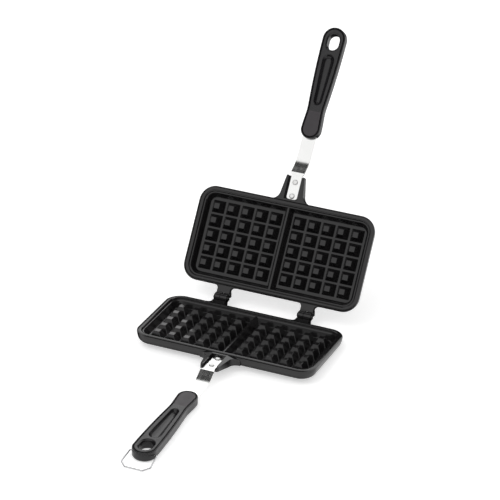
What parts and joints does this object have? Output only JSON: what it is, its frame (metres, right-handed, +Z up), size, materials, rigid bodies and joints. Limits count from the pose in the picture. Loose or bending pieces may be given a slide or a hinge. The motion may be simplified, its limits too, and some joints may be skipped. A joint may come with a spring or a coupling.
{
  "type": "stovetop waffle iron",
  "caption": "Hinged double-plate iron with peg-covered cavities and two long handles, for baking waffles over a hob.",
  "frame": {"origin": "centre of the lower plate's flat underside, which stands on the hob", "axes": "+X to the right across the plates, +Y from the handles to the hinges, +Z up from the hob to the waffle side"},
  "size_m": [0.24, 0.6127, 0.3384],
  "materials": {
    "cast_plate": "dark non-stick coated casting, bare satin outer edge",
    "bright_steel": "bright polished sheet",
    "rivet_steel": "satin",
    "pin_steel": "plain turned",
    "wire_steel": "drawn wire",
    "handle_black": "heat-resistant moulded, fine satin"
  },
  "bodies": {
    "lower_half": {"lower_plate": "cast_plate", "hinge_pin_left": "pin_steel", "hinge_pin_right": "pin_steel", "lower_strap": "bright_steel", "lower_rivet_rear": "rivet_steel", "lower_rivet_front": "rivet_steel", "lower_handle": "handle_black", "lower_handle_screw": "pin_steel"},
    "lid": {"upper_plate": "cast_plate", "upper_strap": "bright_steel", "upper_rivet_rear": "rivet_steel", "upper_rivet_front": "rivet_steel", "upper_handle": "handle_black", "upper_handle_screw": "pin_steel"},
    "bail": {"wire_bail": "wire_steel"}
  },
  "joints": [
    {"name": "lid_hinge", "type": "hinge", "parent": "lower_half", "child": "lid", "pos_m": [0, 0.077, 0.015], "axis": [1, 0, 0], "range_deg": [0, 122]},
    {"name": "bail_pivot", "type": "hinge", "parent": "lower_half", "child": "bail", "pos_m": [0, -0.28373, -0.01075], "axis": [1, 0, 0], "range_deg": [-173.3, 150.7]}
  ]
}
